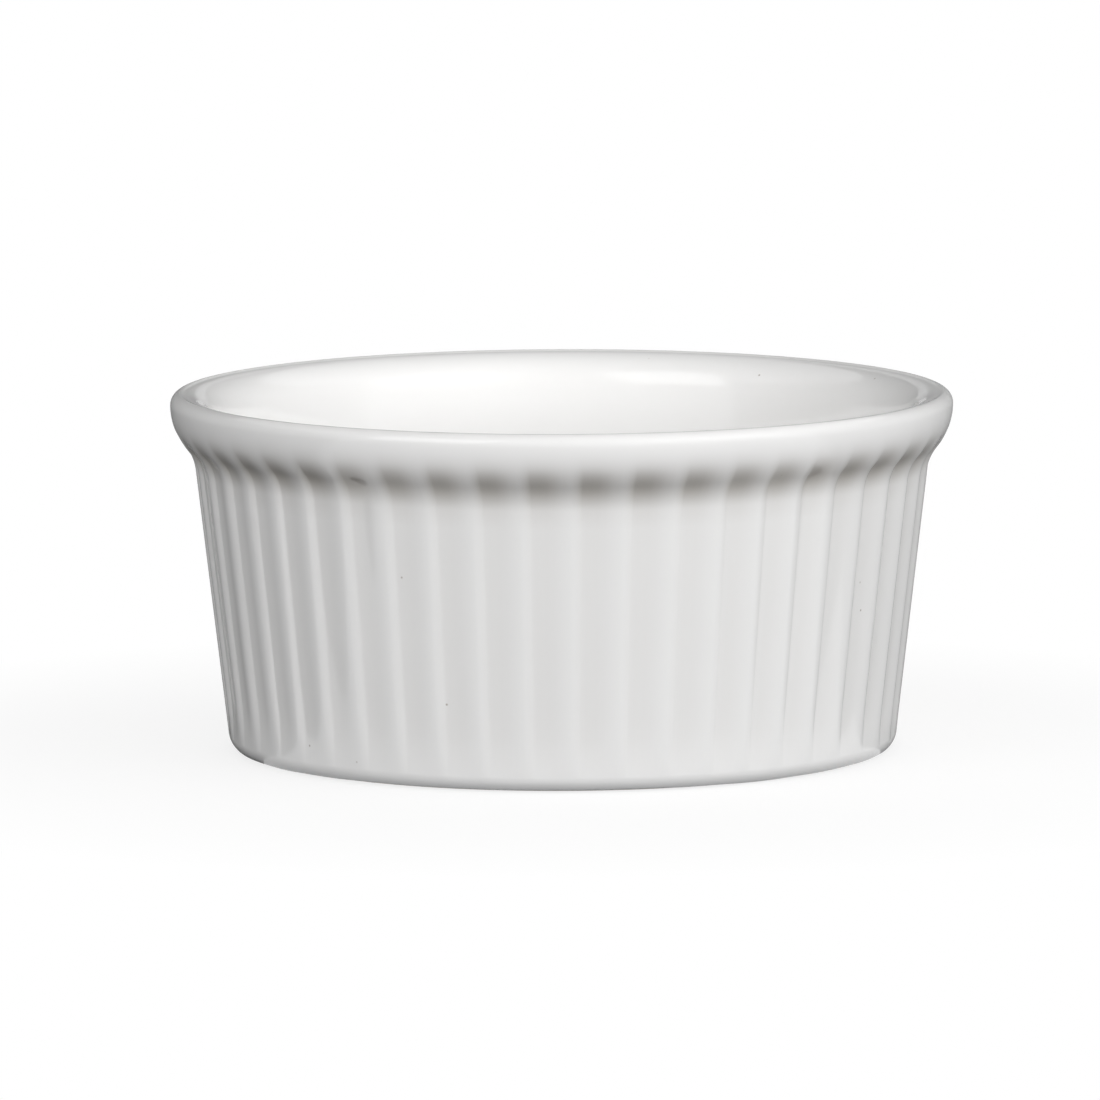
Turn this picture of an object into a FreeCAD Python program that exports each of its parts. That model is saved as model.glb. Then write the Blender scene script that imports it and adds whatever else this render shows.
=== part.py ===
import FreeCAD, Part
import math
import os
from types import SimpleNamespace

import Sketcher

# Driving dimensions of the glazed dish: millimetres, degrees for taper and angle, and a count
SIZES = {
    # Overall form
    "rim_diameter": 90.0,
    "dish_height": 41.2,
    "wall_taper": 6.7,
    "wall_thickness": 3.4,
    # Rolled rim: the wall sweeps out through a cove, swells to the widest line and rolls over the lip
    "rim_overhang": 2.0,
    "cove_radius": 5.5,
    "roll_radius": 7.4,
    "lip_round": 1.4,
    # Floor and foot
    "floor_thickness": 4.6,
    "floor_round": 8.0,
    "base_round": 2.4,
    "foot_width": 3.0,
    "recess_depth": 1.2,
    "recess_angle": 60.0,
    # Flutes: hollows of a round cutter that runs up the wall and out along the cove, in like sectors.
    # Each sector holds as many as leave the least ridge of bare porcelain between them at the foot.
    "sector_count": 7,
    "flute_radius": 10.0,
    "flute_depth": 0.36,
    "least_ridge": 0.05,
    # Glaze
    "glaze_thickness": 0.3,
    "dry_foot_height": 1.0,
    "base_glaze_margin": 1.0,
    # How far a cutting form runs past what it cuts
    "cut_overrun": 2.0,
}
FULL_TURN = 360

size = SimpleNamespace(**SIZES)
doc = FreeCAD.newDocument("Ramekin")

sheet = doc.addObject("Spreadsheet::Sheet", "Sizes")
for row, (alias, value) in enumerate(SIZES.items(), start=1):
    sheet.set(f"A{row}", alias.replace("_", " "))
    sheet.set(f"B{row}", str(value))
    sheet.setAlias(f"B{row}", alias)
doc.recompute()


# Sketch helpers
def spot(across, up):
    """A point of the half section: distance from the axis, height."""
    return FreeCAD.Vector(across, up, 0)


def origin_feature(body, role):
    """The plane or axis of a body's own origin that has this role."""
    return next(item for item in body.Origin.OriginFeatures if item.Role == role)


def half_section(body, name):
    """An empty sketch on a body's XZ plane."""
    sketch = body.newObject("Sketcher::SketchObject", name)
    sketch.AttachmentSupport = [(origin_feature(body, "XZ_Plane"), "")]
    sketch.MapMode = "FlatFace"
    return sketch


def arc_about(centre, begin, finish):
    """The arc that turns left about a centre, from begin to finish."""
    circle = Part.Circle(centre, FreeCAD.Vector(0, 0, 1), (begin - centre).Length)
    angles = [math.atan2(point.y - centre.y, point.x - centre.x) for point in (begin, finish)]
    return Part.ArcOfCircle(circle, *angles)


def draw_chain(sketch, pieces):
    """Draws an outline in order and returns (geometry number, first end, last end) of each piece.

    A piece is (begin, finish) for a line, and (begin, finish, centre, turn) for an arc.
    """
    chain = []
    for begin, finish, *arc in pieces:
        if not arc:
            chain.append((sketch.addGeometry(Part.LineSegment(begin, finish)), 1, 2))
        elif arc[1] == "left":
            chain.append((sketch.addGeometry(arc_about(arc[0], begin, finish)), 1, 2))
        else:
            chain.append((sketch.addGeometry(arc_about(arc[0], finish, begin)), 2, 1))
    return chain


def constrain(sketch, kind, *ends):
    """Adds a constraint that has no size."""
    sketch.addConstraint(Sketcher.Constraint(kind, *ends))


def join(sketch, kind, before, after):
    """Joins the last end of one piece to the first end of the next, as a corner or a smooth run."""
    constrain(sketch, kind, before[0], before[2], after[0], after[1])


def drawn_size(sketch, kind, ends):
    """What a dimension measures on the outline as it is drawn."""
    if kind == "Radius":
        return sketch.Geometry[ends[0]].Radius
    if kind == "Angle":
        slope = sketch.Geometry[ends[0]].EndPoint - sketch.Geometry[ends[0]].StartPoint
        return math.atan2(slope.y, slope.x)
    begin = sketch.getPoint(ends[0], ends[1])
    if len(ends) == 3:
        line = sketch.Geometry[ends[2]]
        return begin.distanceToLine(line.StartPoint, line.EndPoint - line.StartPoint)
    gap = sketch.getPoint(ends[2], ends[3]) - begin
    return {"DistanceX": gap.x, "DistanceY": gap.y, "Distance": gap.Length}[kind]


def read_off(sketch, name, kind, *ends):
    """Adds a named dimension that only reports what the outline gives."""
    drawn = drawn_size(sketch, kind, ends)
    number = sketch.addConstraint(Sketcher.Constraint(kind, *ends, drawn))
    sketch.setDriving(number, False)
    sketch.renameConstraint(number, name)


def measure(sketch, name, expression, kind, *ends):
    """Adds a named dimension that follows an expression of the sheet."""
    drawn = drawn_size(sketch, kind, ends)
    number = sketch.addConstraint(Sketcher.Constraint(kind, *ends, drawn))
    sketch.renameConstraint(number, name)
    sketch.setExpression(f"Constraints.{name}", expression)


# Directions and places that the outlines share
taper = math.radians(size.wall_taper)
up_wall = spot(math.sin(taper), math.cos(taper))
off_wall = spot(math.cos(taper), -math.sin(taper))
rim_radius = size.rim_diameter / 2
widest_level = size.dish_height - size.lip_round
wall_at_rim = rim_radius - size.rim_overhang


def beside_wall(offset, level):
    """The point at a level that lies this far outside the wall line, measured square to it."""
    run = (level - widest_level) * math.sin(taper)
    return spot(wall_at_rim + (run + offset) / math.cos(taper), level)


def cove_centre():
    """Centre of the cove: outside the wall by its radius, and off the roll's centre by both radii."""
    roll_inset = (size.roll_radius - size.rim_overhang) * math.cos(taper)
    reach = size.cove_radius + roll_inset
    run = math.sqrt((size.roll_radius + size.cove_radius) ** 2 - reach ** 2)
    return spot(rim_radius - size.roll_radius, widest_level) + off_wall * reach - up_wall * run


def dish_outline(body, name, bare):
    """Half section of the dish: of the bare porcelain, or of the whole with glaze all over."""
    skin = "Sizes.glaze_thickness" if bare else "0"
    over = "0" if bare else "Sizes.glaze_thickness"
    depth = size.glaze_thickness if bare else 0.0
    extra = size.glaze_thickness - depth

    # Centres of the rounds, which both outlines share
    recess_turn = math.radians(size.recess_angle)
    recess_radius = size.recess_depth / (2 * (1 - math.cos(recess_turn)))
    base = beside_wall(-size.base_round, size.base_round - size.glaze_thickness)
    foot = spot(base.x - size.foot_width, recess_radius)
    recess = spot(foot.x - 2 * recess_radius * math.sin(recess_turn), size.recess_depth - recess_radius)
    roll = spot(rim_radius - size.roll_radius, widest_level)
    cove = cove_centre()
    lip = spot(rim_radius - size.lip_round, widest_level)
    lip_width = size.wall_thickness + (size.rim_overhang - size.lip_round) * math.cos(taper)
    inner_radius = (lip_width - size.lip_round * math.sin(taper)) / (1 - math.sin(taper))
    inner_lip = spot(lip.x, size.dish_height - inner_radius)
    floor_level = size.recess_depth + size.floor_thickness
    floor = beside_wall(-size.wall_thickness - size.floor_round, floor_level + size.floor_round)

    # Points where one piece of the outline runs into the next
    under_axis = spot(0, size.recess_depth - extra)
    under_edge = spot(recess.x, size.recess_depth - extra)
    step = foot - spot(math.sin(recess_turn), math.cos(recess_turn)) * (recess_radius + extra)
    foot_inner = spot(foot.x, -extra)
    foot_outer = spot(base.x, -extra)
    wall_foot = base + off_wall * (size.base_round - depth)
    wall_top = cove - off_wall * (size.cove_radius + depth)
    sweep = roll + (cove - roll).normalize() * (size.roll_radius - depth)
    rim = spot(rim_radius - depth, widest_level)
    crest = spot(lip.x, size.dish_height - depth)
    inner_top = inner_lip - off_wall * (inner_radius - depth)
    inner_foot = floor + off_wall * (size.floor_round + depth)
    floor_edge = spot(floor.x, floor_level - depth)
    floor_axis = spot(0, floor_level - depth)

    sketch = half_section(body, name)
    chain = draw_chain(sketch, [
        (under_axis, under_edge),
        (under_edge, step, recess, "right"),
        (step, foot_inner, foot, "left"),
        (foot_inner, foot_outer),
        (foot_outer, wall_foot, base, "left"),
        (wall_foot, wall_top),
        (wall_top, sweep, cove, "right"),
        (sweep, rim, roll, "left"),
        (rim, crest, lip, "left"),
        (crest, inner_top, inner_lip, "left"),
        (inner_top, inner_foot),
        (inner_foot, floor_edge, floor, "right"),
        (floor_edge, floor_axis),
        (floor_axis, under_axis),
    ])
    for before, after in zip(chain[:-2], chain[1:-1]):
        join(sketch, "Tangent", before, after)
    join(sketch, "Coincident", chain[-2], chain[-1])
    join(sketch, "Coincident", chain[-1], chain[0])
    (under, recess_arc, foot_arc, tread, base_arc, wall, cove_arc, roll_arc, lip_arc,
     inner_arc, inner_wall, floor_arc, floor_line, axis_line) = [number for number, *ends in chain]

    for level_line in (under, tread, floor_line):
        constrain(sketch, "Horizontal", level_line)
    for end in (1, 2):
        constrain(sketch, "PointOnObject", axis_line, end, -2)
    constrain(sketch, "Horizontal", roll_arc, 3, roll_arc, 2)
    constrain(sketch, "Vertical", lip_arc, 3, lip_arc, 2)
    constrain(sketch, "Parallel", wall, inner_wall)

    recess_size = "Sizes.recess_depth / (2 * (1 - cos(Sizes.recess_angle)))"
    rim_level = "Sizes.dish_height - Sizes.lip_round"
    measure(sketch, "rim_radius", f"Sizes.rim_diameter / 2 - {skin}", "DistanceX", -1, 1, roll_arc, 2)
    measure(sketch, "rim_level", rim_level, "DistanceY", -1, 1, roll_arc, 2)
    measure(sketch, "wall_slope", "90 - Sizes.wall_taper", "Angle", wall)
    measure(sketch, "overhang", f"(Sizes.rim_overhang - {skin}) * cos(Sizes.wall_taper) + {skin}",
            "Distance", roll_arc, 2, wall)
    measure(sketch, "thickness", f"Sizes.wall_thickness - 2 * {skin}", "Distance", inner_wall, 1, wall)
    measure(sketch, "cove_radius", f"Sizes.cove_radius + {skin}", "Radius", cove_arc)
    measure(sketch, "roll_radius", f"Sizes.roll_radius - {skin}", "Radius", roll_arc)
    measure(sketch, "lip_radius", f"Sizes.lip_round - {skin}", "Radius", lip_arc)
    measure(sketch, "base_radius", f"Sizes.base_round - {skin}", "Radius", base_arc)
    measure(sketch, "floor_radius", f"Sizes.floor_round + {skin}", "Radius", floor_arc)
    measure(sketch, "foot_radius", f"{recess_size} + {over}", "Radius", foot_arc)
    measure(sketch, "recess_radius", f"{recess_size} - {over}", "Radius", recess_arc)
    measure(sketch, "foot_width", "Sizes.foot_width", "DistanceX", tread, 1, tread, 2)
    measure(sketch, "foot_level", f"{rim_level} + {over}", "DistanceY", tread, 2, roll_arc, 2)
    measure(sketch, "recess_level", "Sizes.recess_depth", "DistanceY", tread, 1, under, 2)
    measure(sketch, "floor_level", f"Sizes.floor_thickness - {skin} + {over}", "DistanceY",
            under, 1, floor_line, 2)
    read_off(sketch, "recess_flat", "DistanceX", under, 1, under, 2)
    read_off(sketch, "foot_inner", "DistanceX", -1, 1, tread, 1)
    read_off(sketch, "cove_out", "DistanceX", -1, 1, cove_arc, 3)
    read_off(sketch, "cove_up", "DistanceY", -1, 1, cove_arc, 3)
    return sketch


def flute_outline(body, name, bare, dish):
    """Half of the flute cutter: a round bar beside the wall, whose end is rounded to follow the cove.

    It turns about an axis parallel to the wall and is drawn on the far side of that axis.
    """
    skin = "Sizes.glaze_thickness" if bare else "0"
    depth = size.glaze_thickness if bare else 0.0

    round_reach = size.flute_radius - size.flute_depth - size.cove_radius
    round_size = size.cove_radius + size.flute_depth + depth
    head = cove_centre() + off_wall * round_reach
    tail = head - up_wall * (widest_level / math.cos(taper))
    round_centre = head + off_wall * round_reach
    round_top = round_centre + up_wall * round_size
    side_top = round_centre + off_wall * round_size
    side_tail = tail + off_wall * (size.flute_radius + depth)

    sketch = half_section(body, name)
    axis = sketch.addGeometry(Part.LineSegment(tail, head), True)
    chain = draw_chain(sketch, [
        (tail, side_tail),
        (side_tail, side_top),
        (side_top, round_top, round_centre, "left"),
        (round_top, head + up_wall * round_size),
        (head + up_wall * round_size, tail),
    ])
    for kind, before, after in zip(("Coincident", "Tangent", "Tangent", "Coincident", "Coincident"),
                                   chain, chain[1:] + chain[:1]):
        join(sketch, kind, before, after)
    tail_line, side, round_arc, end_line, spine = [number for number, *ends in chain]
    constrain(sketch, "Coincident", axis, 1, spine, 2)
    constrain(sketch, "PointOnObject", spine, 1, axis)
    constrain(sketch, "Perpendicular", tail_line, axis)
    constrain(sketch, "Perpendicular", end_line, axis)
    constrain(sketch, "Parallel", side, axis)

    reach = "(Sizes.flute_radius - Sizes.flute_depth - Sizes.cove_radius)"
    cove = f"{dish.Name}.Constraints"
    end_round = f"Sizes.cove_radius + Sizes.flute_depth + {skin}"
    measure(sketch, "slope", "90 - Sizes.wall_taper", "Angle", axis)
    measure(sketch, "head_out", f"{cove}.cove_out / 1 mm + {reach} * cos(Sizes.wall_taper)",
            "DistanceX", -1, 1, axis, 2)
    measure(sketch, "head_up", f"{cove}.cove_up / 1 mm - {reach} * sin(Sizes.wall_taper)",
            "DistanceY", -1, 1, axis, 2)
    measure(sketch, "length", "(Sizes.dish_height - Sizes.lip_round) / cos(Sizes.wall_taper)",
            "Distance", axis, 1, axis, 2)
    measure(sketch, "cutter_radius", f"Sizes.flute_radius + {skin}", "Distance", side, 1, axis)
    measure(sketch, "end_round", end_round, "Radius", round_arc)
    measure(sketch, "end_level", end_round, "Distance", axis, 2, end_line)
    return sketch


def flutes_per_sector():
    """How many flutes fit a sector at the foot of the wall, where they crowd most.

    Square to the wall, the bare porcelain is an arc and the cutter a circle beside it. Where they cross
    is half a flute from its middle, by the law of cosines.
    """
    foot_radius = beside_wall(-size.glaze_thickness, 0).x
    arc_radius = foot_radius / math.cos(taper)
    cutter_radius = size.flute_radius + size.glaze_thickness
    cutter_out = arc_radius + cutter_radius - size.flute_depth
    crossing = (arc_radius ** 2 + cutter_out ** 2 - cutter_radius ** 2) / (2 * arc_radius * cutter_out)
    half_flute = math.asin(math.sin(math.acos(crossing)) / math.cos(taper))
    flute_and_ridge = 2 * half_flute + size.least_ridge / foot_radius
    return math.floor(2 * math.pi / size.sector_count / flute_and_ridge)


SECTOR_FLUTES = flutes_per_sector()
PITCH = f"{FULL_TURN} / (Sizes.sector_count * {SECTOR_FLUTES})"


def fluted_sector(name, bare):
    """One sector of the dish, turned about its axis, with one flute cut and repeated across it."""
    body = doc.addObject("PartDesign::Body", name)
    turned = body.newObject("PartDesign::Revolution", f"{name}Turned")
    outline = dish_outline(body, f"{name}Outline", bare)
    turned.Profile = outline
    turned.ReferenceAxis = (outline, ["V_Axis"])
    turned.Type = "TwoAngles"
    turned.setExpression("Angle", f"{PITCH} * ({SECTOR_FLUTES} - 1 / 2)")
    turned.setExpression("Angle2", f"{PITCH} / 2")
    doc.recompute()

    flute = body.newObject("PartDesign::Groove", f"{name}Flute")
    cutter = flute_outline(body, f"{name}FluteOutline", bare, outline)
    flute.Profile = cutter
    flute.ReferenceAxis = (cutter, ["Axis0"])
    flute.Angle = FULL_TURN
    doc.recompute()

    flutes = body.newObject("PartDesign::PolarPattern", f"{name}Flutes")
    flutes.Originals = [flute]
    flutes.Axis = (origin_feature(body, "Z_Axis"), [""])
    flutes.setExpression("Angle", f"{PITCH} * ({SECTOR_FLUTES} - 1)")
    flutes.Occurrences = SECTOR_FLUTES
    body.Tip = flutes
    doc.recompute()
    if not flutes.Shape.Volume < flute.Shape.Volume < turned.Shape.Volume:
        raise RuntimeError(f"the flutes of {name} cut nothing")
    return body


def full_ring(name, sector):
    """A piece made of like sectors all the way round."""
    body = doc.addObject("PartDesign::Body", name)
    body.BaseFeature = sector
    doc.recompute()
    ring = body.newObject("PartDesign::PolarPattern", f"{name}Ring")
    ring.TransformMode = "Whole shape"
    ring.Axis = (origin_feature(body, "Z_Axis"), [""])
    ring.Angle = FULL_TURN
    ring.setExpression("Occurrences", "Sizes.sector_count")
    body.Tip = ring
    return body


def cylinder(name, radius, bottom, height):
    """A round block about the axis, with its radius, lower level and height given as expressions."""
    block = doc.addObject("Part::Cylinder", name)
    block.setExpression("Radius", radius)
    block.setExpression("Placement.Base.z", bottom)
    block.setExpression("Height", height)
    return block


def cut(name, base, tool):
    """What is left of one object outside another."""
    result = doc.addObject("Part::Cut", name)
    result.Base = base
    result.Tool = tool
    return result


# Porcelain: the fired dish without its glaze
porcelain_sector = fluted_sector("PorcelainSector", bare=True)
porcelain_body = full_ring("Porcelain", porcelain_sector)
BARE = "PorcelainSectorOutline.Constraints"

# Glaze coat: what the dipped dish has over the porcelain, less what is wiped off the foot
# and what lies under the floor
dipped_sector = fluted_sector("DippedSector", bare=False)
wiped_foot = cylinder("WipedFoot", "Sizes.rim_diameter / 2", "-Sizes.cut_overrun",
                      "Sizes.cut_overrun + Sizes.dry_foot_height")
under_floor = cylinder("UnderFloor", f"{BARE}.foot_inner + Sizes.foot_width / 2 * 1 mm",
                       "-Sizes.cut_overrun",
                       "Sizes.cut_overrun + Sizes.recess_depth + Sizes.floor_thickness / 2")
glaze_sector = cut("GlazeSector", dipped_sector, porcelain_sector)
for tool in (wiped_foot, under_floor):
    glaze_sector = cut(f"{tool.Name}Cut", glaze_sector, tool)
glaze_coat = full_ring("GlazeCoat", glaze_sector)

# Base glaze: the patch left in the recess, a margin in from its edge
base_glaze = cylinder("BaseGlaze", f"{BARE}.recess_flat - Sizes.base_glaze_margin * 1 mm",
                      "Sizes.recess_depth - Sizes.glaze_thickness", "Sizes.glaze_thickness")
doc.recompute()

# Check everything, then write the pieces
SUB_PARTS = {
    "porcelain_body": porcelain_body,
    "glaze_coat": glaze_coat,
    "base_glaze": base_glaze,
}
for item in doc.Objects:
    if "Invalid" in item.State or "Error" in item.State:
        raise RuntimeError(f"{item.Name} failed: {item.State}")
for node, item in SUB_PARTS.items():
    item.Label = node
    if item.Shape.isNull() or not item.Shape.isValid() or len(item.Shape.Solids) != 1:
        raise RuntimeError(f"{node} is not one valid solid")

os.makedirs("parts", exist_ok=True)
for node, item in SUB_PARTS.items():
    item.Shape.exportStep(f"parts/{node}.step")
    print(f"{node}: {item.Shape.Volume:.1f} mm3, {len(item.Shape.Faces)} faces")
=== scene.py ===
import math

import bpy
import numpy as np
from mathutils import Matrix, Vector


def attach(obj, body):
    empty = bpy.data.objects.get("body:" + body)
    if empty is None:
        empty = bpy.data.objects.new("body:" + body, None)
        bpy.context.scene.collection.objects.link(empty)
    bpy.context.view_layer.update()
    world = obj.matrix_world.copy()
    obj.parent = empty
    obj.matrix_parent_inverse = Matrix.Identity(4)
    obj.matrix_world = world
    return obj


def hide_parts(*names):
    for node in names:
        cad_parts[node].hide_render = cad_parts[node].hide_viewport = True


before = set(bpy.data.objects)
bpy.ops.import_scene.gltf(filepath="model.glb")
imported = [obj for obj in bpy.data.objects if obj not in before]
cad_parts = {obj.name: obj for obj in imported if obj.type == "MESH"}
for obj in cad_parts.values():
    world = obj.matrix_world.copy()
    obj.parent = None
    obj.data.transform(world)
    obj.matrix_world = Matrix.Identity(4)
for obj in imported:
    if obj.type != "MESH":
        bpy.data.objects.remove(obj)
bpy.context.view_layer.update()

# Sizes of the glazed dish, in metres, as the solids have them, but for the rim, which stays a hair inside
RIM_RADIUS = 0.04499
DISH_HEIGHT = 0.0412
WALL_TAPER = math.radians(6.7)
WALL_THICKNESS = 0.0034
RIM_OVERHANG = 0.0020
COVE_RADIUS = 0.0055
ROLL_RADIUS = 0.0074
LIP_ROUND = 0.0014
FLOOR_THICKNESS = 0.0046
FLOOR_ROUND = 0.0080
BASE_ROUND = 0.0024
FOOT_WIDTH = 0.0030
RECESS_DEPTH = 0.0012
RECESS_TURN = math.radians(60)
GLAZE_THICKNESS = 0.0003

# Flutes: count, depth, and the slope across one, from ridge to ridge: steep, then flat, then a long rise
FLUTE_COUNT = 49
FLUTE_DEPTH = 0.00036
SLOPE_PLACES = (0, 0.205, 0.225, 0.26, 0.40, 0.66, 0.86, 1)
SLOPES = (0, 1, 1, 0.11, 0, -0.375, -0.363, 0)
SLOPE_STEPS = 2001

# Levels between which the flutes fade in above the foot, and fade out under the rim
FLUTE_FOOT = (0.0010, 0.0060)
FLUTE_HEAD = (0.0340, 0.0375)

# Columns of mesh across a flute, closest where its slope breaks, and the waves that make the flutes uneven
COLUMN_PLACES = np.array((0, 0.07, 0.14, 0.19, 0.217, 0.238, 0.262, 0.31, 0.42, 0.56, 0.70, 0.85))
SPACING_WAVES = ((1, 0.0152, 1.65), (3, 0.0029, -1.68), (5, 0.0066, 2.01), (8, 0.0051, -1.23))

# Inside the lip the wall flares a little more: how much, at what level, and over what height
FLARE = 0.00024
FLARE_LEVEL = 0.0392
FLARE_HEIGHT = 0.0034

# Lower edge of the glaze: its line on the base round, how that strays, the width of its bead, the depth of
# its end, and how deep the coat's back lies in the porcelain
GLAZE_LINE = math.radians(-58)
GLAZE_LINE_WAVES = ((3, 0.030, 1.0), (8, 0.022, 0.3), (23, 0.018, 2.5))
GLAZE_TUCK = math.radians(-72)
GLAZE_BEAD = math.radians(9)
TUCK_DEPTH = 0.00002
BACK_DEPTH = 0.00003

# Painted shade in the glaze's colour: how strong it is in the flutes, and in the hollows and on the ridges
# under the rim, and the level and height of the shaded band there
FLUTE_SHADE = 0.10
HOLLOW_RIM_SHADE = 0.90
RIDGE_RIM_SHADE = 0.40
RIM_SHADE_LEVEL = 0.0350
RIM_SHADE_HEIGHT = 0.0021

# Glaze in the recess: how far it stops short of the foot, and how its edge strays
PATCH_MARGIN = 0.0010
PATCH_WAVES = ((4, 0.00020, 0.7), (9, 0.00014, 2.0))

# Rows of mesh along each stretch of the section, and how they crowd towards the top of the inner wall
ROWS = {
    "base": 16, "wall": 14, "cove": 12, "roll": 14, "lip": 10,
    "inner_lip": 12, "inner_wall": 13, "floor_round": 12, "floor": 6,
    "recess": 8, "recess_arc": 6, "foot_arc": 6, "tread": 5,
}
INNER_WALL_CROWD = 2


# Section of the dish: stretches of arc and line, as distance from the axis and height
def ray(angle):
    """Unit vector of the section plane at an angle from the outward direction."""
    return np.stack((np.cos(angle), np.sin(angle)), axis=-1)


def arc_stretch(name, centre, radius, begin, finish, hollow=False):
    """Arc: centre plus radius times the unit vector whose angle runs evenly from begin to finish.

    Its normal is that vector, or the opposite one where the surface is hollow.
    """
    out = ray(np.linspace(begin, finish, ROWS[name], endpoint=False))
    return centre + radius * out, -out if hollow else out


def line_stretch(name, begin, finish, normal, crowd=1):
    """Line: points from begin to finish, all with one normal.

    Their shares of the way are raised to a power, which crowds them at the start where it is above 1.
    """
    share = np.linspace(0, 1, ROWS[name], endpoint=False)[:, None] ** crowd
    points = (1 - share) * begin + share * finish
    return points, np.broadcast_to(normal, points.shape)


off_wall = ray(-WALL_TAPER)
up_wall = ray(math.pi / 2 - WALL_TAPER)
upright = ray(math.pi / 2)
widest_level = DISH_HEIGHT - LIP_ROUND
floor_level = RECESS_DEPTH + FLOOR_THICKNESS


def beside_wall(offset, level):
    """Point at a level that lies an offset outside the wall line, measured square to the wall."""
    run = (level - widest_level) * math.sin(WALL_TAPER)
    return np.array((RIM_RADIUS - RIM_OVERHANG + (run + offset) / math.cos(WALL_TAPER), level))


# Centres of the rounds
base_centre = beside_wall(-BASE_ROUND, BASE_ROUND - GLAZE_THICKNESS)
roll_centre = np.array((RIM_RADIUS - ROLL_RADIUS, widest_level))
cove_reach = COVE_RADIUS + (ROLL_RADIUS - RIM_OVERHANG) * math.cos(WALL_TAPER)
cove_run = math.sqrt((ROLL_RADIUS + COVE_RADIUS) ** 2 - cove_reach ** 2)
cove_centre = roll_centre + cove_reach * off_wall - cove_run * up_wall
roll_begin = math.atan2(*(cove_centre - roll_centre)[::-1])
lip_centre = np.array((RIM_RADIUS - LIP_ROUND, widest_level))
lip_width = WALL_THICKNESS + (RIM_OVERHANG - LIP_ROUND) * math.cos(WALL_TAPER)
inner_radius = (lip_width - LIP_ROUND * math.sin(WALL_TAPER)) / (1 - math.sin(WALL_TAPER))
inner_centre = np.array((lip_centre[0], DISH_HEIGHT - inner_radius))
floor_centre = beside_wall(-WALL_THICKNESS - FLOOR_ROUND, floor_level + FLOOR_ROUND)
recess_round = RECESS_DEPTH / (2 * (1 - math.cos(RECESS_TURN)))
foot_centre = np.array((base_centre[0] - FOOT_WIDTH, recess_round))
recess_centre = foot_centre - 2 * recess_round * np.array((math.sin(RECESS_TURN), math.cos(RECESS_TURN)))


def eased_step(value, begin, finish):
    """0 below a range, 1 above it, and between them a curve that leaves and arrives level."""
    share = np.clip((value - begin) / (finish - begin), 0, 1)
    return share ** 2 * (3 - 2 * share)


def flute_strength(points):
    """How strongly the flutes show outside: fully, but for fades above the foot and under the rim."""
    return eased_step(points[:, 1], *FLUTE_FOOT) * (1 - eased_step(points[:, 1], *FLUTE_HEAD))


def bell(level, middle, height):
    """Bell curve over the level: 1 in the middle, and about a third at the height above and below it."""
    return np.exp(-((level - middle) / height) ** 2)


def glazed_section():
    """Section of the glazed face from the tucked glaze edge up the wall, over the lip and in to the axis.

    Returns points, normals, how strongly the flutes show at each point, and how strongly the painted shade
    darkens the glaze there under the rim.
    """
    wall_foot = base_centre + BASE_ROUND * off_wall
    wall_top = cove_centre - COVE_RADIUS * off_wall
    inside_top = inner_centre - inner_radius * off_wall
    inside_foot = floor_centre + FLOOR_ROUND * off_wall
    floor_edge = np.array((floor_centre[0], floor_level))
    floor_middle = np.array((0, floor_level))
    stretches = (
        arc_stretch("base", base_centre, BASE_ROUND, GLAZE_TUCK, -WALL_TAPER),
        line_stretch("wall", wall_foot, wall_top, off_wall),
        arc_stretch("cove", cove_centre, COVE_RADIUS, math.pi - WALL_TAPER, math.pi + roll_begin,
                    hollow=True),
        arc_stretch("roll", roll_centre, ROLL_RADIUS, roll_begin, 0),
        arc_stretch("lip", lip_centre, LIP_ROUND, 0, math.pi / 2),
        arc_stretch("inner_lip", inner_centre, inner_radius, math.pi / 2, math.pi - WALL_TAPER),
        line_stretch("inner_wall", inside_top, inside_foot, -off_wall, INNER_WALL_CROWD),
        arc_stretch("floor_round", floor_centre, FLOOR_ROUND, -WALL_TAPER, -math.pi / 2, hollow=True),
        line_stretch("floor", floor_edge, floor_middle, upright),
        (floor_middle[None], upright[None]),
    )
    points, normals = [np.concatenate(parts) for parts in zip(*stretches)]
    inside = sum(ROWS[name] for name in ("base", "wall", "cove", "roll", "lip"))
    points[inside:] -= normals[inside:] * FLARE * bell(points[inside:, 1:], FLARE_LEVEL, FLARE_HEIGHT)

    strength = np.zeros(len(points))
    strength[:inside] = flute_strength(points[:inside])
    # Painted shade: the glaze's colour darkens in a band under the rim, where shade falls
    rim_shade = np.zeros(len(points))
    rim_shade[:inside] = bell(points[:inside, 1], RIM_SHADE_LEVEL, RIM_SHADE_HEIGHT)
    return points, normals, strength, rim_shade


def underside_section():
    """Section of the bare porcelain under the dish, from the axis out to the foot's outer edge."""
    recess_top = recess_centre + recess_round * upright
    turned = math.pi / 2 - RECESS_TURN
    stretches = (
        line_stretch("recess", np.array((0, RECESS_DEPTH)), recess_top, -upright),
        arc_stretch("recess_arc", recess_centre, recess_round, math.pi / 2, turned, hollow=True),
        arc_stretch("foot_arc", foot_centre, recess_round, turned - math.pi, -math.pi / 2),
        line_stretch("tread", np.array((foot_centre[0], 0)), np.array((base_centre[0], 0)), -upright),
    )
    return [np.concatenate(parts) for parts in zip(*stretches)]


# Flutes
def waves(angle, terms):
    """Sum of sine waves round the dish, each with its count, height and start."""
    return sum(height * np.sin(count * angle + start) for count, height, start in terms)


def hollow_across(places):
    """Depth across a flute, from 0 on the ridges to 1.

    It is the running sum of the slopes, less a straight line that closes it at the far ridge.
    """
    steps = np.linspace(0, 1, SLOPE_STEPS)
    depth = np.cumsum(np.interp(steps, SLOPE_PLACES, SLOPES))
    depth = depth - steps * depth[-1]
    return np.interp(places, steps, depth / depth.max())


even_angle = (np.arange(FLUTE_COUNT)[:, None] + COLUMN_PLACES - 1 / 2).ravel() * 2 * math.pi / FLUTE_COUNT
column_angle = even_angle + waves(even_angle, SPACING_WAVES)
column_hollow = np.tile(hollow_across(COLUMN_PLACES), FLUTE_COUNT)


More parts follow.
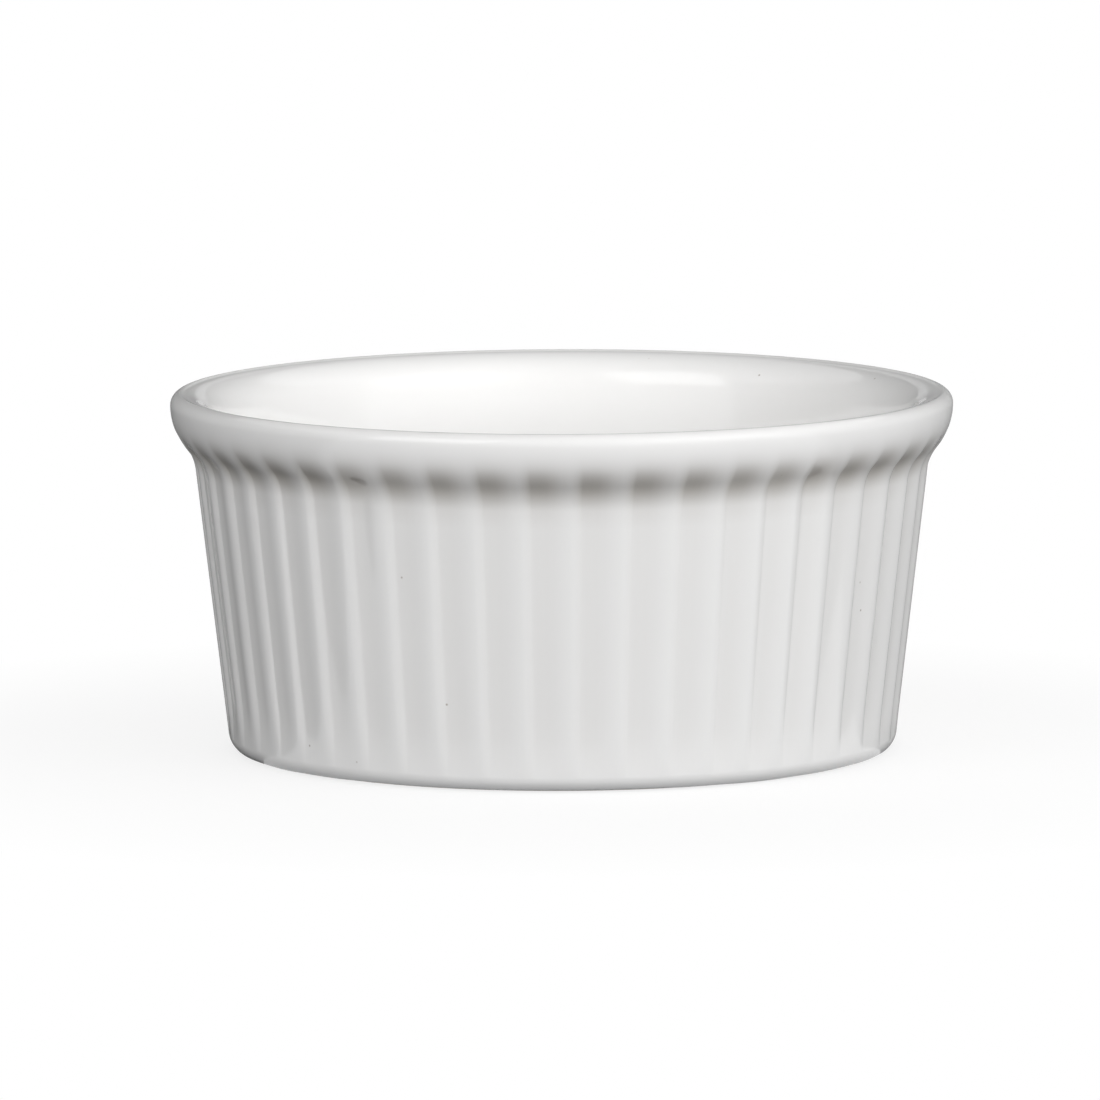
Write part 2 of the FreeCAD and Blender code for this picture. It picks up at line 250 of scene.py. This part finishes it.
def fluted_face(points, normals, strength, skin):
    """Turns a section about the axis, moved back along its normals by the flutes' depth and a skin.

    Returns the grid of places, rows by columns, and the flutes' depth.
    """
    cut = FLUTE_DEPTH * column_hollow * strength[:, None]
    back = cut + skin
    out = points[:, :1] - normals[:, :1] * back
    level = points[:, 1:] - normals[:, 1:] * back
    return np.stack((out * np.cos(column_angle), out * np.sin(column_angle), level), axis=-1), cut


def glaze_skin(rows):
    """How far the glaze's face lies inside the full coat, at the lower edge.

    Along the base round the coat is tucked into the porcelain, then swells to full thickness over the
    bead, as a quarter of an ellipse does, from a line that strays up and down round the dish.
    """
    angle = np.linspace(GLAZE_TUCK, -WALL_TAPER, ROWS["base"], endpoint=False)
    line = GLAZE_LINE + waves(column_angle, GLAZE_LINE_WAVES)
    swell = np.clip((angle[:, None] - line) / GLAZE_BEAD, 0, 1)
    thickness = (GLAZE_THICKNESS + TUCK_DEPTH) * np.sqrt(1 - (1 - swell) ** 2) - TUCK_DEPTH
    skin = np.zeros((rows, len(column_angle)))
    skin[:ROWS["base"]] = GLAZE_THICKNESS - thickness
    return skin


# Meshes
def turned_mesh(name, grid, **attributes):
    """Mesh of a grid of rows by columns that closes round the axis, its first and last rows being poles.

    Each row but the poles is a ring. A quad joins each two columns of each two rings, and a triangle
    joins each two columns of an end ring to its pole.
    """
    rows, columns = grid.shape[:2]
    rings = rows - 2
    places = np.concatenate((grid[0, :1], grid[1:-1].reshape(-1, 3), grid[-1, :1]))
    ring = 1 + np.arange(rings * columns).reshape(rings, columns)
    after = np.roll(ring, -1, axis=1)
    quads = np.stack((ring[:-1], after[:-1], after[1:], ring[1:]), axis=-1).reshape(-1, 4)
    first = np.stack((np.zeros(columns, int), after[0], ring[0]), axis=-1)
    last = np.stack((np.full(columns, len(places) - 1), ring[-1], after[-1]), axis=-1)

    mesh = bpy.data.meshes.new(name)
    mesh.from_pydata(places, [], quads.tolist() + first.tolist() + last.tolist())
    mesh.shade_smooth()
    for word, values in attributes.items():
        listed = np.concatenate((values[0, :1], values[1:-1].ravel(), values[-1, :1]))
        mesh.attributes.new(word, "FLOAT", "POINT").data.foreach_set("value", listed.astype(np.float32))
    piece = bpy.data.objects.new(name, mesh)
    bpy.context.scene.collection.objects.link(piece)
    return piece


def thinned(rows):
    """Every other row of a section, with both ends."""
    picked = list(range(0, rows, 2))
    return picked if picked[-1] == rows - 1 else picked + [rows - 1]


def make_glaze_coat():
    """Closed coat: from the axis along its back, on every other row, then round the edge and along its face.

    Returns its grid and, for each place, how strongly the painted shade darkens the glaze there, from 0 to
    1.
    """
    points, normals, strength, rim_shade = glazed_section()
    face, cut = fluted_face(points, normals, strength, glaze_skin(len(points)))
    some = thinned(len(points))[::-1]
    depth = GLAZE_THICKNESS + BACK_DEPTH
    back, back_cut = fluted_face(points[some], normals[some], strength[some], depth)
    # Painted shade: darker deeper in the flutes, and in the band under the rim more in the hollows than on
    # the ridges
    shade_in_flutes = np.concatenate((back_cut, cut)) / FLUTE_DEPTH * FLUTE_SHADE
    under_rim_shade = np.concatenate((rim_shade[some], rim_shade))[:, None]
    rim_shade_across = RIDGE_RIM_SHADE + (HOLLOW_RIM_SHADE - RIDGE_RIM_SHADE) * column_hollow
    return np.concatenate((back, face)), shade_in_flutes + under_rim_shade * rim_shade_across


def make_porcelain():
    """Porcelain: the underside, the base round, then the rest of the glazed section less the glaze."""
    points, normals, strength = glazed_section()[:-1]
    above = [row for row in thinned(len(points)) if row >= ROWS["base"]]
    under, under_normals = underside_section()
    base, base_normals = arc_stretch("base", base_centre, BASE_ROUND, -math.pi / 2, -WALL_TAPER)
    stretches = (
        fluted_face(under, under_normals, np.zeros(len(under)), 0),
        fluted_face(base, base_normals, flute_strength(base), GLAZE_THICKNESS),
        fluted_face(points[above], normals[above], strength[above], GLAZE_THICKNESS),
    )
    return np.concatenate([grid for grid, cut in stretches])


def make_base_glaze():
    """Patch in the recess: a disc of glaze with a rounded edge that strays in and out round the dish."""
    edge = recess_centre[0] - PATCH_MARGIN + waves(column_angle, PATCH_WAVES)
    turn = np.linspace(-math.pi / 2, 0, ROWS["recess_arc"])[:, None]
    round_out = edge - GLAZE_THICKNESS * (1 - np.cos(turn))
    round_level = RECESS_DEPTH + GLAZE_THICKNESS * np.sin(turn)
    share = np.linspace(0, 1, ROWS["recess"], endpoint=False)[:, None]
    flat_out = share * round_out[0]
    flat_level = np.full_like(flat_out, RECESS_DEPTH - GLAZE_THICKNESS)
    out = np.concatenate((flat_out, round_out, np.zeros_like(edge)[None]))
    level = np.concatenate((flat_level, np.broadcast_to(round_level, round_out.shape),
                            np.full_like(edge, RECESS_DEPTH)[None]))
    return np.stack((out * np.cos(column_angle), out * np.sin(column_angle), level), axis=-1)


# Materials: colours in linear light, sizes in features per metre
GLAZE_LIGHT = (0.802, 0.798, 0.791, 1)
GLAZE_DARK = (0.774, 0.770, 0.763, 1)
# Colour of the painted shade in the flutes and under the rim
PAINTED_SHADE_COLOUR = (0.430, 0.405, 0.370, 1)
PINHOLE = (0.34, 0.30, 0.26, 1)
PINHOLE_PIT = 12.0
GLAZE_CLOUDS = 70
GLAZE_ROUGHNESS = (0.03, 0.06)
ORANGE_PEEL = 700
PEEL_STRENGTH = 0.02
PEEL_HEIGHT = 0.00010
PINHOLES = {"Scale": 400, "Size": 0.08, "Share": 0.05}

BISQUE_LIGHT = (0.70, 0.66, 0.60, 1)
BISQUE_DARK = (0.58, 0.54, 0.48, 1)
IRON_SPECK = (0.22, 0.15, 0.10, 1)
BISQUE_CLOUDS = 180
BISQUE_ROUGHNESS = (0.62, 0.82)
BISQUE_GRAIN = 5000
GRAIN_STRENGTH = 0.35
GRAIN_HEIGHT = 0.00006
IRON_SPECKS = {"Scale": 900, "Size": 0.14, "Share": 0.06}

# Detail of the noises, range of the clouds that is spread over a roughness, and the Mix node's sockets for
# colours
CLOUD_DETAIL = 3
GRAIN_DETAIL = 2
CLOUD_RANGE = (0.35, 0.65)
UNDER_COLOUR, OVER_COLOUR, MIXED_COLOUR = 6, 7, 2


def new_group(name, inputs, outputs):
    """Node group with named sockets, its nodes, its links and its two ends."""
    group = bpy.data.node_groups.new(name, "ShaderNodeTree")
    for side, sockets in (("INPUT", inputs), ("OUTPUT", outputs)):
        for word, kind in sockets.items():
            group.interface.new_socket(word, in_out=side, socket_type="NodeSocket" + kind)
    nodes, links = group.nodes, group.links
    return group, nodes, links, nodes.new("NodeGroupInput"), nodes.new("NodeGroupOutput")


def blend(nodes, links, factor, under, over):
    """Colour that goes from one to another with a factor. Each colour is a socket or a plain value."""
    mix = nodes.new("ShaderNodeMix")
    mix.data_type = "RGBA"
    links.new(factor, mix.inputs["Factor"])
    for place, colour in ((UNDER_COLOUR, under), (OVER_COLOUR, over)):
        if isinstance(colour, tuple):
            mix.inputs[place].default_value = colour
        else:
            links.new(colour, mix.inputs[place])
    return mix.outputs[MIXED_COLOUR]


def spread(nodes, links, value, begin, finish):
    """Value that runs from one end of a range to the other while another does."""
    ramp = nodes.new("ShaderNodeMapRange")
    links.new(value, ramp.inputs["Value"])
    for word, amount in zip(("From Min", "From Max", "To Min", "To Max"), (*begin, *finish)):
        ramp.inputs[word].default_value = amount
    return ramp.outputs["Result"]


def make_clouds():
    """Soft unevenness of a fired surface: a noise between two colours, and the noise itself."""
    sockets = {"Light": "Color", "Dark": "Color", "Scale": "Float"}
    results = {"Color": "Color", "Amount": "Float"}
    group, nodes, links, given, out = new_group("fired_clouds", sockets, results)
    place = nodes.new("ShaderNodeTexCoord")
    noise = nodes.new("ShaderNodeTexNoise")
    noise.inputs["Detail"].default_value = CLOUD_DETAIL
    links.new(place.outputs["Object"], noise.inputs["Vector"])
    links.new(given.outputs["Scale"], noise.inputs["Scale"])
    amount = noise.outputs["Fac"]
    colour = blend(nodes, links, amount, given.outputs["Dark"], given.outputs["Light"])
    links.new(colour, out.inputs["Color"])
    links.new(amount, out.inputs["Amount"])
    return group


def make_specks():
    """Specks: round spots at the points of a Voronoi pattern, kept in a share of its cells."""
    sockets = {"Scale": "Float", "Size": "Float", "Share": "Float"}
    group, nodes, links, given, out = new_group("kiln_specks", sockets, {"Mask": "Float"})
    place = nodes.new("ShaderNodeTexCoord")
    cells = nodes.new("ShaderNodeTexVoronoi")
    links.new(place.outputs["Object"], cells.inputs["Vector"])
    links.new(given.outputs["Scale"], cells.inputs["Scale"])
    spot = nodes.new("ShaderNodeMapRange")
    spot.interpolation_type = "SMOOTHSTEP"
    spot.inputs["To Min"].default_value = 1
    spot.inputs["To Max"].default_value = 0
    links.new(cells.outputs["Distance"], spot.inputs["Value"])
    links.new(given.outputs["Size"], spot.inputs["From Max"])
    parts = nodes.new("ShaderNodeSeparateColor")
    links.new(cells.outputs["Color"], parts.inputs["Color"])
    kept = nodes.new("ShaderNodeMath")
    kept.operation = "LESS_THAN"
    links.new(parts.outputs["Red"], kept.inputs[0])
    links.new(given.outputs["Share"], kept.inputs[1])
    mask = nodes.new("ShaderNodeMath")
    mask.operation = "MULTIPLY"
    links.new(spot.outputs["Result"], mask.inputs[0])
    links.new(kept.outputs["Value"], mask.inputs[1])
    links.new(mask.outputs["Value"], out.inputs["Mask"])
    return group


def make_grain():
    """Fine relief of a surface: noise, less a pit in each speck."""
    sockets = {"Scale": "Float", "Pits": "Float", "Pit Depth": "Float"}
    group, nodes, links, given, out = new_group("surface_grain", sockets, {"Height": "Float"})
    place = nodes.new("ShaderNodeTexCoord")
    noise = nodes.new("ShaderNodeTexNoise")
    noise.inputs["Detail"].default_value = GRAIN_DETAIL
    links.new(place.outputs["Object"], noise.inputs["Vector"])
    links.new(given.outputs["Scale"], noise.inputs["Scale"])
    pits = nodes.new("ShaderNodeMath")
    pits.operation = "MULTIPLY"
    links.new(given.outputs["Pits"], pits.inputs[0])
    links.new(given.outputs["Pit Depth"], pits.inputs[1])
    height = nodes.new("ShaderNodeMath")
    height.operation = "SUBTRACT"
    links.new(noise.outputs["Fac"], height.inputs[0])
    links.new(pits.outputs["Value"], height.inputs[1])
    links.new(height.outputs["Value"], out.inputs["Height"])
    return group


def place_group(nodes, group, values):
    """Node of a group, with values for some of its inputs."""
    node = nodes.new("ShaderNodeGroup")
    node.node_tree = group
    for word, value in values.items():
        node.inputs[word].default_value = value
    return node


def new_material(name):
    """Material with its nodes, its links and its Principled shader."""
    material = bpy.data.materials.new(name)
    material.use_nodes = True
    nodes = material.node_tree.nodes
    return material, nodes, material.node_tree.links, nodes["Principled BSDF"]


def add_relief(nodes, links, shader, height, strength, distance):
    """Bump under the shader's gloss from a height."""
    bump = nodes.new("ShaderNodeBump")
    bump.inputs["Strength"].default_value = strength
    bump.inputs["Distance"].default_value = distance
    links.new(height, bump.inputs["Height"])
    links.new(bump.outputs["Normal"], shader.inputs["Normal"])


def glaze_material(clouds, specks, grain):
    """Glossy white glaze: faint clouds, painted shade in flutes and under the rim, a few pinholes, orange
    peel.
    """
    material, nodes, links, shader = new_material("white_glaze")
    cloud = place_group(nodes, clouds, {"Light": GLAZE_LIGHT, "Dark": GLAZE_DARK, "Scale": GLAZE_CLOUDS})
    pinhole = place_group(nodes, specks, PINHOLES)
    peel = place_group(nodes, grain, {"Scale": ORANGE_PEEL, "Pit Depth": PINHOLE_PIT})
    # Painted shade: the glaze's colour is darkened by the coat's shade attribute
    painted_shade = nodes.new("ShaderNodeAttribute")
    painted_shade.attribute_name = "painted_shade"
    colour = blend(nodes, links, painted_shade.outputs["Fac"], cloud.outputs["Color"], PAINTED_SHADE_COLOUR)
    colour = blend(nodes, links, pinhole.outputs["Mask"], colour, PINHOLE)
    links.new(colour, shader.inputs["Base Color"])
    rough = spread(nodes, links, cloud.outputs["Amount"], CLOUD_RANGE, GLAZE_ROUGHNESS)
    links.new(rough, shader.inputs["Roughness"])
    links.new(pinhole.outputs["Mask"], peel.inputs["Pits"])
    add_relief(nodes, links, shader, peel.outputs["Height"], PEEL_STRENGTH, PEEL_HEIGHT)
    return material


def porcelain_material(clouds, specks, grain):
    """Bare fired porcelain: warm, matt and grainy, with small iron specks."""
    material, nodes, links, shader = new_material("bare_porcelain")
    cloud = place_group(nodes, clouds, {"Light": BISQUE_LIGHT, "Dark": BISQUE_DARK, "Scale": BISQUE_CLOUDS})
    iron = place_group(nodes, specks, IRON_SPECKS)
    grit = place_group(nodes, grain, {"Scale": BISQUE_GRAIN})
    colour = blend(nodes, links, iron.outputs["Mask"], cloud.outputs["Color"], IRON_SPECK)
    links.new(colour, shader.inputs["Base Color"])
    rough = spread(nodes, links, cloud.outputs["Amount"], CLOUD_RANGE, BISQUE_ROUGHNESS)
    links.new(rough, shader.inputs["Roughness"])
    add_relief(nodes, links, shader, grit.outputs["Height"], GRAIN_STRENGTH, GRAIN_HEIGHT)
    return material


finish_groups = make_clouds(), make_specks(), make_grain()
glaze = glaze_material(*finish_groups)
bisque = porcelain_material(*finish_groups)

# Pieces, each in place of the solid of its own name
# The coat carries its painted shade as a mesh attribute
coat_grid, coat_shade = make_glaze_coat()
PIECES = (
    ("glaze_coat_shell", coat_grid, {"painted_shade": coat_shade}, "glaze_coat", "glaze", glaze),
    ("porcelain_dish", make_porcelain(), {}, "porcelain_body", "porcelain", bisque),
    ("base_glaze_patch", make_base_glaze(), {}, "base_glaze", "glaze", glaze),
)
for name, grid, attributes, node, slot, material in PIECES:
    piece = turned_mesh(name, grid, **attributes)
    piece.data.materials.append(material)
    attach(piece, "root")
    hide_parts(node)

# Camera: where it stands, and where the photograph shows the point that it is aimed at
AIM = Vector((0, 0, 0.021))
PHOTO_PIXELS = 1100
AIM_PIXEL = (562.18, 564.36)
FOCAL_PIXELS = 11213.6
SENSOR_WIDTH = 36.0
CAMERA_DISTANCE = 1.2918
CAMERA_RISE = 7.285
CAMERA_TURN = math.radians(-3.1)
CAMERA_ROLL = math.radians(-0.195)

# Floor: its half width, how it lights the dish, how far and how strongly it shows the dish's shadow, and its
# glow under the dish, which lights only the underside
FLOOR_REACH = 2.0
FLOOR_LEVEL = -0.00002
FLOOR_BOUNCE = (0.045, 0.05, 0.06, 1)
SHADOW_REACH = 0.10
SHADOW_STRENGTH = 0.25
UNDER_GLOW = 0.6
ROOM_LIGHT = 0.02

# Lamps: name, azimuth from the camera's side to the right, rise, distance, width, height, feather and
# brightness. The boxes show in the dish's gloss, and the panels only fill in light
SOFTBOXES = (
    ("box_left", -43, 40, 1.0, 0.60, 0.60, 0.02, 2.0),
    ("box_right", 50, 40, 1.0, 1.00, 0.70, 0.6, 1.05),
)
PANELS = (
    ("panel_front", 0, 13, 1.7, 2.20, 0.70, 0.3, 4.6),
    ("panel_right", 62, 19, 1.0, 1.70, 0.62, 0.4, 3.4),
    ("panel_left", -62, 19, 1.2, 1.40, 0.60, 0.3, 1.95),
    ("panel_side", 100, 20, 1.0, 0.80, 0.60, 0.6, 1.7),
    ("panel_back", 180, 10, 1.5, 1.30, 0.45, 0.3, 9.5),
    ("panel_back_left", -145, 12, 1.2, 0.90, 0.45, 0.4, 2.6),
    ("panel_back_right", 145, 12, 1.2, 0.90, 0.45, 0.4, 2.4),
)

# Grey cards round the dish that show only in its gloss: name, azimuths, tone. Their section lies on the
# floor, then stands up
CARDS = (
    ("card_left", -177, -65, 0.25),
    ("card_right", 75, 177, 0.35),
    ("card_back", 177, 183, 0.60),
)
CARD_SECTION = np.array(((0.0362, 0.0002), (0.40, 0.0002), (0.40, 0.30)))
CARD_STEPS = 25


# Stage: white floor and surroundings, soft lamps, camera
def towards(azimuth, rise):
    """Unit vector from the dish at an azimuth from the camera's side, to the right, and a rise."""
    turn = math.radians(azimuth) + CAMERA_TURN
    up = math.radians(rise)
    return Vector((math.sin(turn) * math.cos(up), -math.cos(turn) * math.cos(up), math.sin(up)))


def make_lamp(name, azimuth, rise, distance, width, height, feather, brightness, shown):
    """Soft lamp that faces the dish. Its brightness is that of its face, where 1 is white.

    Towards each edge the face dims over a share of its half width, the feather.
    """
    light = bpy.data.lights.new(name, "AREA")
    light.use_nodes = True
    nodes, links = light.node_tree.nodes, light.node_tree.links
    face = nodes.new("ShaderNodeNewGeometry")
    sides = nodes.new("ShaderNodeSeparateXYZ")
    links.new(face.outputs["Parametric"], sides.inputs["Vector"])
    dims = []
    for side in "XY":
        fold = nodes.new("ShaderNodeMath")
        fold.operation = "PINGPONG"
        fold.inputs[1].default_value = 1 / 2
        ramp = nodes.new("ShaderNodeMapRange")
        ramp.interpolation_type = "SMOOTHSTEP"
        ramp.inputs["From Max"].default_value = feather / 2
        links.new(sides.outputs[side], fold.inputs[0])
        links.new(fold.outputs["Value"], ramp.inputs["Value"])
        dims.append(ramp.outputs["Result"])
    dim = nodes.new("ShaderNodeMath")
    dim.operation = "MULTIPLY"
    links.new(dims[0], dim.inputs[0])
    links.new(dims[1], dim.inputs[1])
    links.new(dim.outputs["Value"], nodes["Emission"].inputs["Strength"])
    light.shape = "RECTANGLE"
    light.size = width
    light.size_y = height
    light.energy = brightness * math.pi * width * height
    lamp = bpy.data.objects.new(name, light)
    lamp.location = AIM + distance * towards(azimuth, rise)
    lamp.rotation_euler = towards(azimuth, rise).to_track_quat("Z", "Y").to_euler()
    lamp.visible_camera = False
    lamp.visible_glossy = shown
    bpy.context.scene.collection.objects.link(lamp)


def make_sheet(name, grid):
    """Stage piece that joins a grid of places with quads, with a material of its own name.

    Returns the piece and its material's nodes, links and shader.
    """
    rows, columns = grid.shape[:2]
    place = np.arange(rows * columns).reshape(rows, columns)
    quads = np.stack((place[:-1, :-1], place[:-1, 1:], place[1:, 1:], place[1:, :-1]), axis=-1)
    mesh = bpy.data.meshes.new(name)
    mesh.from_pydata(grid.reshape(-1, 3), [], quads.reshape(-1, 4).tolist())
    sheet = bpy.data.objects.new(name, mesh)
    bpy.context.scene.collection.objects.link(sheet)
    material, nodes, links, shader = new_material(name)
    mesh.materials.append(material)
    return sheet, nodes, links, shader


def make_card(name, begin, finish, tone):
    """Card's section carried round the axis from one azimuth to another. Only the dish's gloss shows it."""
    turn = np.radians(np.linspace(begin, finish, CARD_STEPS)) + CAMERA_TURN
    reach, level = CARD_SECTION[:, :1], CARD_SECTION[:, 1:]
    ring = np.stack((np.sin(turn), -np.cos(turn), np.ones(CARD_STEPS)), axis=-1)
    card, *_, shader = make_sheet(name, ring * np.stack((reach, reach, level), axis=-1))
    shader.inputs["Base Color"].default_value = (tone, tone, tone, 1)
    shader.inputs["Specular IOR Level"].default_value = 0
    card.visible_camera = False
    card.visible_diffuse = False
    card.visible_shadow = False


def seen_or_mirrored(nodes, links):
    """Value that is 1 for what the camera sees, straight or in a gloss or through glass, and else 0."""
    path = nodes.new("ShaderNodeLightPath")
    total = path.outputs["Is Camera Ray"]
    for word in ("Is Glossy Ray", "Is Transmission Ray"):
        most = nodes.new("ShaderNodeMath")
        most.operation = "MAXIMUM"
        links.new(total, most.inputs[0])
        links.new(path.outputs[word], most.inputs[1])
        total = most.outputs["Value"]
    return total


def mixed(nodes, links, factor, under, over):
    """Shader that goes from one to another with a factor."""
    mix = nodes.new("ShaderNodeMixShader")
    links.new(factor, mix.inputs["Fac"])
    links.new(under, mix.inputs[1])
    links.new(over, mix.inputs[2])
    return mix.outputs["Shader"]


def make_surroundings():
    """World that is white where it is seen or mirrored, and lights the dish as a dim room does."""
    world = bpy.data.worlds.new("surroundings")
    bpy.context.scene.world = world
    world.use_nodes = True
    nodes, links = world.node_tree.nodes, world.node_tree.links
    dim = nodes["Background"]
    dim.inputs["Strength"].default_value = ROOM_LIGHT
    white = nodes.new("ShaderNodeBackground")
    for background in (dim, white):
        background.inputs["Color"].default_value = (1, 1, 1, 1)
    seen = seen_or_mirrored(nodes, links)
    whole = mixed(nodes, links, seen, dim.outputs["Background"], white.outputs["Background"])
    links.new(whole, nodes["World Output"].inputs["Surface"])


def make_floor():
    """White floor that keeps the dish's shadow close by and goes over into the white surroundings.

    What is seen or mirrored is white light, less a share of plain white that takes the shadow. What lights
    the dish is a dim bounce, and the glow under it. From below, the floor is clear.
    """
    y, x = np.meshgrid((-FLOOR_REACH, FLOOR_REACH), (-FLOOR_REACH, FLOOR_REACH), indexing="ij")
    level = np.full_like(x, FLOOR_LEVEL)
    _, nodes, links, shader = make_sheet("white_floor", np.stack((x, y, level), axis=-1))
    nodes.remove(shader)
    place = nodes.new("ShaderNodeTexCoord")
    span = nodes.new("ShaderNodeVectorMath")
    span.operation = "LENGTH"
    links.new(place.outputs["Object"], span.inputs[0])
    from_axis = span.outputs["Value"]
    foot_reach = base_centre[0]

    white = nodes.new("ShaderNodeEmission")
    shaded = nodes.new("ShaderNodeBsdfDiffuse")
    shaded.inputs["Color"].default_value = (1, 1, 1, 1)
    shadow = spread(nodes, links, from_axis, (foot_reach, SHADOW_REACH), (SHADOW_STRENGTH, 0))
    shown = mixed(nodes, links, shadow, white.outputs["Emission"], shaded.outputs["BSDF"])

    table = nodes.new("ShaderNodeBsdfDiffuse")
    table.inputs["Color"].default_value = FLOOR_BOUNCE
    glow = nodes.new("ShaderNodeEmission")
    under = spread(nodes, links, from_axis, (foot_reach, foot_reach + BASE_ROUND / 2), (UNDER_GLOW, 0))
    links.new(under, glow.inputs["Strength"])
    unseen = nodes.new("ShaderNodeAddShader")
    links.new(table.outputs["BSDF"], unseen.inputs[0])
    links.new(glow.outputs["Emission"], unseen.inputs[1])

    whole = mixed(nodes, links, seen_or_mirrored(nodes, links), unseen.outputs["Shader"], shown)
    clear = nodes.new("ShaderNodeBsdfTransparent")
    side = nodes.new("ShaderNodeNewGeometry")
    one_way = mixed(nodes, links, side.outputs["Backfacing"], whole, clear.outputs["BSDF"])
    links.new(one_way, nodes["Material Output"].inputs["Surface"])


def make_camera():
    """Long lens at the photograph's distance and height, aimed by shifting the picture."""
    lens = bpy.data.cameras.new("camera")
    lens.sensor_width = SENSOR_WIDTH
    lens.lens = SENSOR_WIDTH * FOCAL_PIXELS / PHOTO_PIXELS
    lens.shift_x = (PHOTO_PIXELS / 2 - AIM_PIXEL[0]) / PHOTO_PIXELS
    lens.shift_y = (AIM_PIXEL[1] - PHOTO_PIXELS / 2) / PHOTO_PIXELS
    camera = bpy.data.objects.new("camera", lens)
    bpy.context.scene.collection.objects.link(camera)
    out = towards(0, CAMERA_RISE)
    stand = out.to_track_quat("Z", "Y").to_matrix().to_4x4() @ Matrix.Rotation(CAMERA_ROLL, 4, "Z")
    camera.matrix_world = Matrix.Translation(AIM + CAMERA_DISTANCE * out) @ stand
    bpy.context.scene.camera = camera


for softbox in SOFTBOXES:
    make_lamp(*softbox, shown=True)
for panel in PANELS:
    make_lamp(*panel, shown=False)
for card in CARDS:
    make_card(*card)
make_surroundings()
make_floor()
make_camera()
bpy.context.scene.view_settings.view_transform = "Standard"
